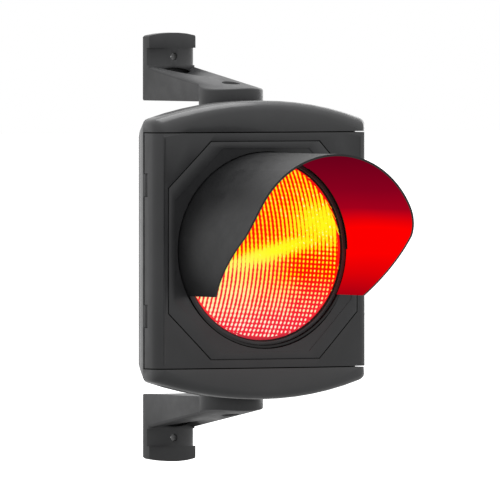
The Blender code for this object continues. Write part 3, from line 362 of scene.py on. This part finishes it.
def lens_rim(name):
    """The smooth border of the lens, which glows a plainer red, deeper at the bottom."""
    nodes = Nodes(name)
    _, _, z = nodes.axes()
    height = nodes.spread(z, -0.101, 0.101, 0.0, 1.0)
    stops = [
        (0.0, (0.25, 0.002, 0.02)),
        (0.07, (0.62, 0.002, 0.02)),
        (0.3, (0.95, 0.01, 0.004)),
        (1.0, (0.80, 0.006, 0.004)),
    ]
    colour = nodes.ramp(height, stops)
    cloud = nodes.noise(80.0)
    clouded = nodes.mix(nodes.spread(cloud, 0.4, 0.7, 0, 0.3), colour, (0.7, 0.0, 0.02))
    nodes.link(clouded, nodes.shader.inputs["Emission Color"])
    nodes.set(Base_Color=(0.3, 0.0, 0.0, 1), Emission_Strength=1.0, Roughness=0.2)
    nodes.bump(cloud, 0.05, 0.1 * MM)
    return nodes.material


def lining_painted_lamp_glow(name):
    """Inside of the visor, washed in red by the lamp: painted light, a red glow on a part that is no
    lamp, falling to crimson under the crown as painted shade.
    """
    nodes = Nodes(name)
    _, y, z = nodes.axes()
    wander = nodes.spread(nodes.noise(6.0, 1.0), 0.3, 0.7, -0.02, 0.02)
    height = nodes.sum("ADD", nodes.spread(z, -0.055, 0.110, 0.0, 1.0), wander)
    # painted light and shade: the red glow is brightest at mid height, dimmer near the foot and crimson
    # under the crown
    stops = [
        (0.0, (0.36, 0.0, 0.006)),
        (0.16, (0.72, 0.0, 0.002)),
        (0.30, (0.97, 0.0, 0.0)),
        (0.48, (0.99, 0.0, 0.0)),
        (0.53, (0.80, 0.0, 0.002)),
        (0.62, (0.36, 0.0, 0.011)),
        (0.75, (0.24, 0.0, 0.012)),
        (1.0, (0.13, 0.0, 0.010)),
    ]
    colour = nodes.ramp(height, stops)
    nodes.link(colour, nodes.shader.inputs["Emission Color"])
    grain = nodes.noise(1500.0, 2.0)
    nodes.bump(grain, 0.05, 0.1 * MM)
    nodes.link(nodes.spread(grain, 0.3, 0.7, 0.5, 0.65), nodes.shader.inputs["Roughness"])
    nodes.set(Base_Color=(0.004, 0.0, 0.0, 1), Emission_Strength=1.0, Specular_IOR_Level=0.0)
    return nodes.material


def clear_plastic(name, colour, rings=0.0):
    """Clear moulded plastic, with turned rings where it is a stepped lens."""
    nodes = Nodes(name)
    cloud = nodes.noise(60.0)
    darker = tuple(channel * 0.8 for channel in colour)
    nodes.link(nodes.mix(cloud, darker, colour), nodes.shader.inputs["Base Color"])
    nodes.link(nodes.spread(cloud, 0.3, 0.7, 0.08, 0.16), nodes.shader.inputs["Roughness"])
    if rings:
        x, _, z = nodes.axes()
        square_x = nodes.sum("MULTIPLY", x, x)
        square_z = nodes.sum("MULTIPLY", z, z)
        radius = nodes.sum("SQRT", nodes.sum("ADD", square_x, square_z))
        nodes.bump(ripple(nodes, radius, rings), 0.6, 0.4 * MM)
    else:
        nodes.bump(cloud, 0.05, 0.1 * MM)
    nodes.set(Transmission_Weight=0.7, IOR=1.49)
    return nodes.material


# ---------------------------------------------------------------- shaping tools
def pick(obj):
    """Select this object alone and make it active."""
    bpy.ops.object.select_all(action="DESELECT")
    obj.select_set(True)
    bpy.context.view_layer.objects.active = obj


def use(obj, kind, **settings):
    """Add a modifier with these settings and apply it."""
    modifier = obj.modifiers.new(kind.title(), kind)
    for key, value in settings.items():
        setattr(modifier, key, value)
    pick(obj)
    bpy.ops.object.modifier_apply(modifier=modifier.name)


def settle(obj, node, material, angle=35.0):
    """Give a finished piece its place on the object: body, look and shading."""
    pick(obj)
    bpy.ops.object.transform_apply(location=True, rotation=True, scale=True)
    bpy.ops.object.shade_smooth_by_angle(angle=math.radians(angle))
    if material:
        obj.data.materials.clear()
        obj.data.materials.append(material)
    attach(obj, frame["nodes"][node]["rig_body"])
    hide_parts(node)
    return obj


def merged_copy(node, name, flat=1.0):
    """A copy of a CAD node with its triangles welded back into whole faces."""
    obj = frame["nodes"][node].copy()
    obj.data = frame["nodes"][node].data.copy()
    obj.name = name
    obj.parent = None
    for key in [key for key in obj.keys() if key.startswith("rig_")]:
        del obj[key]
    obj.matrix_world.identity()
    bpy.context.scene.collection.objects.link(obj)
    pick(obj)
    bpy.ops.object.mode_set(mode="EDIT")
    bpy.ops.mesh.select_all(action="SELECT")
    bpy.ops.mesh.remove_doubles(threshold=0.004 * MM)
    bpy.ops.mesh.dissolve_limited(angle_limit=math.radians(flat))
    bpy.ops.object.mode_set(mode="OBJECT")
    return obj


def eased(node, name, width, material, angle=32.0, segments=3, smooth=35.0):
    """The CAD shape with its sharp edges rounded a little, as the mould leaves them."""
    obj = merged_copy(node, name)
    use(
        obj,
        "BEVEL",
        width=width,
        segments=segments,
        limit_method="ANGLE",
        angle_limit=math.radians(angle),
        use_clamp_overlap=True,
        harden_normals=False,
    )
    use(obj, "WEIGHTED_NORMAL", keep_sharp=True)
    return settle(obj, node, material, smooth)


SLOT_OF = {row["node"]: row["material_slot"] for row in frame["record"]["subparts"]}


# ---------------------------------------------------------------- looks of each slot
LOOKS = {
    "bracket_plastic": moulded_plastic("bracket grey, fine grain", BRACKET_GREY, 0.42),
    "housing_plastic": moulded_plastic("shell anthracite, fine grain", DARK_GREY, 0.36),
    "visor_plastic": moulded_plastic("visor near black, satin", VISOR_GREY, 0.42, 0.03),
    "ring_plastic": moulded_plastic("retaining ring grey", (0.05, 0.05, 0.052), 0.45),
    "black_rubber": rubber("black rubber"),
    "red_lens": lit_lens("red prism lens, lit"),
    "clear_lens": clear_plastic("stepped inner lens", (0.9, 0.25, 0.22), 2.0 * MM),
    "led_optic": clear_plastic("led domes", (0.95, 0.75, 0.72)),
    "bowl_plastic": moulded_plastic("reflector grey", (0.55, 0.55, 0.55), 0.35),
    "white_board": circuit_board("white led board", (0.82, 0.82, 0.80), (0.62, 0.60, 0.52)),
    "green_board": circuit_board("green driver board", (0.02, 0.16, 0.06), (0.05, 0.30, 0.11)),
    "cover_plastic": moulded_plastic("driver cover black", (0.02, 0.02, 0.021), 0.45),
    "terminal_plastic": moulded_plastic("terminal block cream", (0.70, 0.69, 0.62), 0.40),
    "steel": plated_steel("zinc-plated steel"),
}


def dress_cad_nodes():
    """Give every CAD piece the look of its slot."""
    for node, obj in frame["nodes"].items():
        obj.data.materials.clear()
        obj.data.materials.append(LOOKS[SLOT_OF[node]])


# ---------------------------------------------------------------- stage
def make_floor():
    """A plain pale floor that only darkens a little under the object."""
    place = (0, 0, FLOOR_Z)
    bpy.ops.mesh.primitive_grid_add(x_subdivisions=2, y_subdivisions=2, size=FLOOR_SIZE, location=place)
    floor = bpy.context.object
    floor.name = "floor"
    nodes = Nodes("pale floor")
    nodes.set(Base_Color=(0.9, 0.9, 0.9, 1), Roughness=1.0, Specular_IOR_Level=0.0)
    nodes.set(Emission_Color=PLAIN_WHITE, Emission_Strength=FLOOR_GLOW)
    floor.data.materials.append(nodes.material)
    floor.visible_diffuse = False
    floor.visible_glossy = False


def make_world():
    """White all round for the eye; the light itself comes mostly from behind and above."""
    world = bpy.data.worlds.new("soft white room")
    world.use_nodes = True
    tree = world.node_tree
    background = tree.nodes["Background"]
    background.inputs["Color"].default_value = PLAIN_WHITE
    facing = tree.nodes.new("ShaderNodeTexCoord")
    split = tree.nodes.new("ShaderNodeSeparateXYZ")
    fall = tree.nodes.new("ShaderNodeMapRange")
    fall.inputs["From Min"].default_value = -0.7
    fall.inputs["From Max"].default_value = 0.7
    fall.inputs["To Min"].default_value = FRONT_LIGHT
    fall.inputs["To Max"].default_value = BACK_LIGHT
    lift = tree.nodes.new("ShaderNodeMapRange")
    lift.inputs["From Min"].default_value = -0.8
    lift.inputs["From Max"].default_value = 0.8
    lift.inputs["To Min"].default_value = LOW_LIGHT
    lift.inputs["To Max"].default_value = HIGH_LIGHT
    both = tree.nodes.new("ShaderNodeMath")
    both.operation = "MULTIPLY"
    path = tree.nodes.new("ShaderNodeLightPath")
    brightest = tree.nodes.new("ShaderNodeMath")
    brightest.operation = "MAXIMUM"
    tree.links.new(facing.outputs["Generated"], split.inputs["Vector"])
    tree.links.new(split.outputs["Y"], fall.inputs["Value"])
    tree.links.new(split.outputs["Z"], lift.inputs["Value"])
    tree.links.new(fall.outputs["Result"], both.inputs[0])
    tree.links.new(lift.outputs["Result"], both.inputs[1])
    tree.links.new(both.outputs[0], brightest.inputs[0])
    tree.links.new(path.outputs["Is Camera Ray"], brightest.inputs[1])
    tree.links.new(brightest.outputs[0], background.inputs["Strength"])
    bpy.context.scene.world = world


def add_panel_light(name, place, aim, size, power):
    """A flat light of this width, height and power in watts, turned towards the aim."""
    bpy.ops.object.light_add(type="AREA", location=place)
    light = bpy.context.object
    light.name = name
    light.data.shape = "RECTANGLE"
    light.data.size = size[0]
    light.data.size_y = size[1]
    light.data.energy = power
    light.rotation_euler = (Vector(aim) - Vector(place)).to_track_quat("-Z", "Y").to_euler()


def make_lights():
    """Two weak soft boxes; the room gives the rest."""
    add_panel_light("overhead soft box", (0.2, -0.1, 1.6), (0, -0.1, 0), (1.6, 1.0), 16)
    add_panel_light("right rear soft box", (1.6, 0.9, 0.5), (0, -0.1, 0), (1.0, 1.4), 8)


def make_camera():
    """Far off on the low-x side of the lens axis and a little above it, with a very long lens."""
    aim = Vector((0.0819, -0.0473, -0.0036))
    rise = math.radians(1.1)
    away = Vector((-0.5 * math.cos(rise), -0.8660 * math.cos(rise), math.sin(rise)))
    bpy.ops.object.camera_add(location=aim + away * CAMERA_AWAY)
    camera = bpy.context.object
    camera.name = "main_camera"
    camera.data.sensor_width = CAMERA_SENSOR
    camera.data.lens = CAMERA_SENSOR * CAMERA_AWAY / SEEN_WIDTH
    camera.data.clip_end = CAMERA_CLIP
    camera.rotation_euler = (-away).to_track_quat("-Z", "Y").to_euler()
    bpy.context.scene.camera = camera


# ---------------------------------------------------------------- outer lens
def whole_edit(obj):
    """Open this object for editing with all of it selected."""
    pick(obj)
    bpy.ops.object.mode_set(mode="EDIT")
    bpy.ops.mesh.select_all(action="SELECT")


def score(pitch, normal):
    """Cut the disc along evenly spaced straight lines."""
    count = int(LENS_R / pitch)
    for step in range(-count, count + 1):
        place = Vector(normal) * step * pitch
        bpy.ops.mesh.select_all(action="SELECT")
        bpy.ops.mesh.bisect(plane_co=place, plane_no=normal, threshold=CUT_MERGE)


def make_outer_lens():
    """A domed red disc whose front is divided into small raised prisms, with a plain rim."""
    bpy.ops.mesh.primitive_circle_add(
        vertices=LENS_SIDES,
        radius=PRISM_R,
        fill_type="NGON",
        location=(0, LENS_EDGE_Y, 0),
        rotation=(math.pi / 2, 0, 0),
    )
    lens = bpy.context.object
    lens.name = "outer_lens_prisms"
    bpy.ops.object.transform_apply(location=False, rotation=True, scale=False)
    lens.data.materials.append(LOOKS["red_lens"])
    lens.data.materials.append(lens_rim("plain lens rim, lit"))
    whole_edit(lens)
    score(LENS_PITCH_X, (1, 0, 0))
    score(LENS_PITCH_Z, (0, 0, 1))
    bpy.ops.object.mode_set(mode="OBJECT")
    press_to_dome(lens)
    whole_edit(lens)
    bpy.ops.mesh.inset(use_individual=True, use_boundary=True, thickness=0.6 * MM, depth=0.30 * MM)
    bpy.ops.mesh.inset(use_individual=True, use_boundary=True, thickness=0.7 * MM, depth=0.12 * MM)
    close_lens(lens)
    return settle(lens, "outer_lens", None, 15.0)


def press_to_dome(lens):
    """Press the flat disc onto a shallow sphere centred far behind it."""
    radius = (LENS_R ** 2 + LENS_BULGE ** 2) / (2 * LENS_BULGE)
    bpy.context.scene.cursor.location = (0, LENS_EDGE_Y - LENS_BULGE + radius, 0)
    pick(lens)
    bpy.ops.object.origin_set(type="ORIGIN_CURSOR")
    use(lens, "CAST", cast_type="SPHERE", factor=1.0, use_x=False, use_z=False, size=radius)
    bpy.context.scene.cursor.location = (0, 0, 0)


def close_lens(lens):
    """Add the plain rim, the edge and the flat back."""
    bpy.ops.mesh.select_all(action="DESELECT")
    bpy.ops.mesh.select_mode(type="EDGE")
    bpy.ops.mesh.select_non_manifold(extend=False)
    widen = LENS_R / PRISM_R
    middle = (0, LENS_EDGE_Y, 0)
    lens.active_material_index = 1
    bpy.ops.mesh.extrude_region_move()
    bpy.ops.transform.resize(value=(widen, 1, widen), center_override=middle)
    bpy.ops.mesh.select_more()
    bpy.ops.object.material_slot_assign()
    bpy.ops.mesh.select_all(action="DESELECT")
    bpy.ops.mesh.select_non_manifold(extend=False)
    bpy.ops.mesh.extrude_region_move(TRANSFORM_OT_translate={"value": (0, LENS_RIM_DEPTH, 0)})
    bpy.ops.mesh.edge_face_add()
    bpy.ops.mesh.select_more()
    bpy.ops.object.material_slot_assign()
    bpy.ops.mesh.select_all(action="SELECT")
    bpy.ops.mesh.normals_make_consistent(inside=False)
    bpy.ops.object.mode_set(mode="OBJECT")


# ---------------------------------------------------------------- moulded shells
def open_tube(name, radius, wall, front, back):
    """A round tube wall about the lens axis, from one depth to another."""
    bpy.ops.mesh.primitive_cylinder_add(
        vertices=TUBE_SIDES,
        radius=radius,
        depth=back - front,
        end_fill_type="NOTHING",
        location=(0, (front + back) / 2, 0),
        rotation=(math.pi / 2, 0, 0),
    )
    tube = bpy.context.object
    tube.name = name
    bpy.ops.object.transform_apply(location=True, rotation=True, scale=True)
    use(tube, "SOLIDIFY", thickness=wall, offset=-1)
    return tube


def slice_off(reach, z, angle):
    """Cut away what lies ahead of a plane through this point, tilted this far back from upright."""
    ahead = (0, -math.cos(angle), -math.sin(angle))
    bpy.ops.mesh.select_all(action="SELECT")
    bpy.ops.mesh.bisect(plane_co=(0, FACE_Y - reach, z), plane_no=ahead, use_fill=True, clear_outer=True)


def trim_corner(centre, radius, first, last, steps):
    """Follow a rounded corner of the hood's side with short straight cuts."""
    for step in range(steps + 1):
        angle = first + (last - first) * step / steps
        slice_off(centre[0] + radius * math.cos(angle), centre[1] - radius * math.sin(angle), angle)


def make_visor():
    """A thin hood cut back along its sides, on a full ring with a flange behind the panel."""
    hood = open_tube("visor_hood", VISOR_R, VISOR_WALL, FACE_Y - HOOD_REACH, FACE_Y + COLLAR_BACK)
    whole_edit(hood)
    lean = math.atan2(HOOD_REACH - SHOULDER_REACH, VISOR_R - SHOULDER_Z)
    slice_off(HOOD_REACH, VISOR_R, lean)
    slant = math.pi / 2 - HOOD_SLANT
    trim_corner((SHOULDER_REACH - SHOULDER_R, SHOULDER_Z), SHOULDER_R, lean, slant, SHOULDER_CUTS)
    foot_back = HOOD_FOOT - HOOD_FOOT_R * math.tan(HOOD_SLANT / 2)
    foot_centre = (foot_back, HOOD_BOTTOM + HOOD_FOOT_R)
    trim_corner(foot_centre, HOOD_FOOT_R, slant, math.pi / 2, HOOD_FOOT_CUTS)
    bpy.ops.object.mode_set(mode="OBJECT")
    flange_wall = FLANGE_R - VISOR_R + 1 * MM
    flange_front = FACE_Y + FLANGE_FRONT
    back = FACE_Y + FLANGE_BACK
    for part in (
        open_tube("visor_collar", VISOR_R, VISOR_WALL, FACE_Y + COLLAR_FRONT, back),
        open_tube("visor_flange", FLANGE_R, flange_wall, flange_front, back),
    ):
        use(hood, "BOOLEAN", operation="UNION", object=part, solver="EXACT")
        bpy.data.objects.remove(part)
    use(hood, "BEVEL", width=0.5 * MM, segments=2, limit_method="ANGLE", angle_limit=math.radians(45))
    settle(hood, "visor", LOOKS["visor_plastic"], 32)
    # The inward faces ahead of the collar get a painted red glow, painted light and shade standing in
    # for the lamp's light on the lining.
    hood.data.materials.append(lining_painted_lamp_glow("visor lining, washed in red light"))
    for face in hood.data.polygons:
        centre = face.center
        out = Vector((centre.x, 0, centre.z))
        inward = face.normal.dot(out.normalized()) < INWARD
        if inward and centre.y < FACE_Y + COLLAR_FRONT:
            face.material_index = 1
    return hood


def round_edges(obj, width, chosen, sharp=30.0, segments=4):
    """Bevel only the sharp edges whose both ends pass the test."""
    pick(obj)
    bpy.ops.object.mode_set(mode="EDIT")
    bpy.ops.mesh.select_all(action="DESELECT")
    bpy.ops.mesh.select_mode(type="EDGE")
    mesh = bmesh.from_edit_mesh(obj.data)
    for edge in mesh.edges:
        crisp = len(edge.link_faces) == 2 and edge.calc_face_angle() > math.radians(sharp)
        if crisp and all(chosen(corner.co) for corner in edge.verts):
            edge.select_set(True)
    mesh.select_flush_mode()
    bmesh.update_edit_mesh(obj.data)
    bpy.ops.mesh.bevel(offset=width, segments=segments, profile=0.5, clamp_overlap=False)
    bpy.ops.object.mode_set(mode="OBJECT")


def make_arm(word, side):
    """Bracket with a rounded arm, soft saddle corners and a fine break on every other edge."""
    arm = merged_copy(word + "_bracket", word + "_arm", 4.0)

    def along_arm(point):
        on_side = abs(abs(point.x) - ARM_HALF_WIDTH) < ARM_EDGE_SLACK
        return on_side and ARM_FRONT < point.y < ARM_REAR and ARM_LOW < side * point.z < ARM_HIGH

    def saddle_corner(point):
        return abs(point.x) > SADDLE_SIDE and point.y > SADDLE_FRONT and side * point.z > SADDLE_HIGH

    def rear_corner(point):
        height = side * point.z
        return point.y > SADDLE_REAR and (height < SADDLE_LOW or height > SADDLE_HIGH)

    def hub_rim(point):
        reach = math.hypot(point.x, point.y - PIVOT_Y)
        return reach > HUB_REACH and point.y < PIVOT_Y + HUB_BEHIND and side * point.z > HUB_LOW

    round_edges(arm, 3.0 * MM, along_arm)
    round_edges(arm, 1.8 * MM, saddle_corner)
    round_edges(arm, 2.4 * MM, rear_corner)
    round_edges(arm, 1.8 * MM, hub_rim)
    use(arm, "BEVEL", width=0.5 * MM, segments=2, limit_method="ANGLE", angle_limit=math.radians(40))
    return settle(arm, word + "_bracket", LOOKS["bracket_plastic"])


def make_shells():
    """The large moulded pieces, both brackets and both latches, with eased edges."""
    eased("door", "door_shell", 0.6 * MM, LOOKS["housing_plastic"])
    eased("bezel_panel", "octagon_panel", 0.35 * MM, LOOKS["housing_plastic"], 25, 2)
    rear_look = moulded_plastic("rear shell, smoother grain", DARK_GREY, 0.38)
    skin = rear_look.node_tree.nodes["Principled BSDF"].inputs
    skin["Coat Weight"].default_value = 0.4
    skin["Coat Roughness"].default_value = 0.12
    eased("rear_housing", "rear_shell", 0.5 * MM, rear_look, 40, 2)
    eased("lens_ring", "retaining_ring", 0.4 * MM, LOOKS["ring_plastic"], 40, 2)
    for word, side in (("upper", 1), ("lower", -1)):
        make_arm(word, side)
        eased(word + "_latch", word + "_quarter_turn", 0.2 * MM, LOOKS["steel"], 40, 2)


# ---------------------------------------------------------------- put it together
dress_cad_nodes()
make_shells()
make_visor()
make_outer_lens()
make_floor()
make_world()
make_lights()
make_camera()
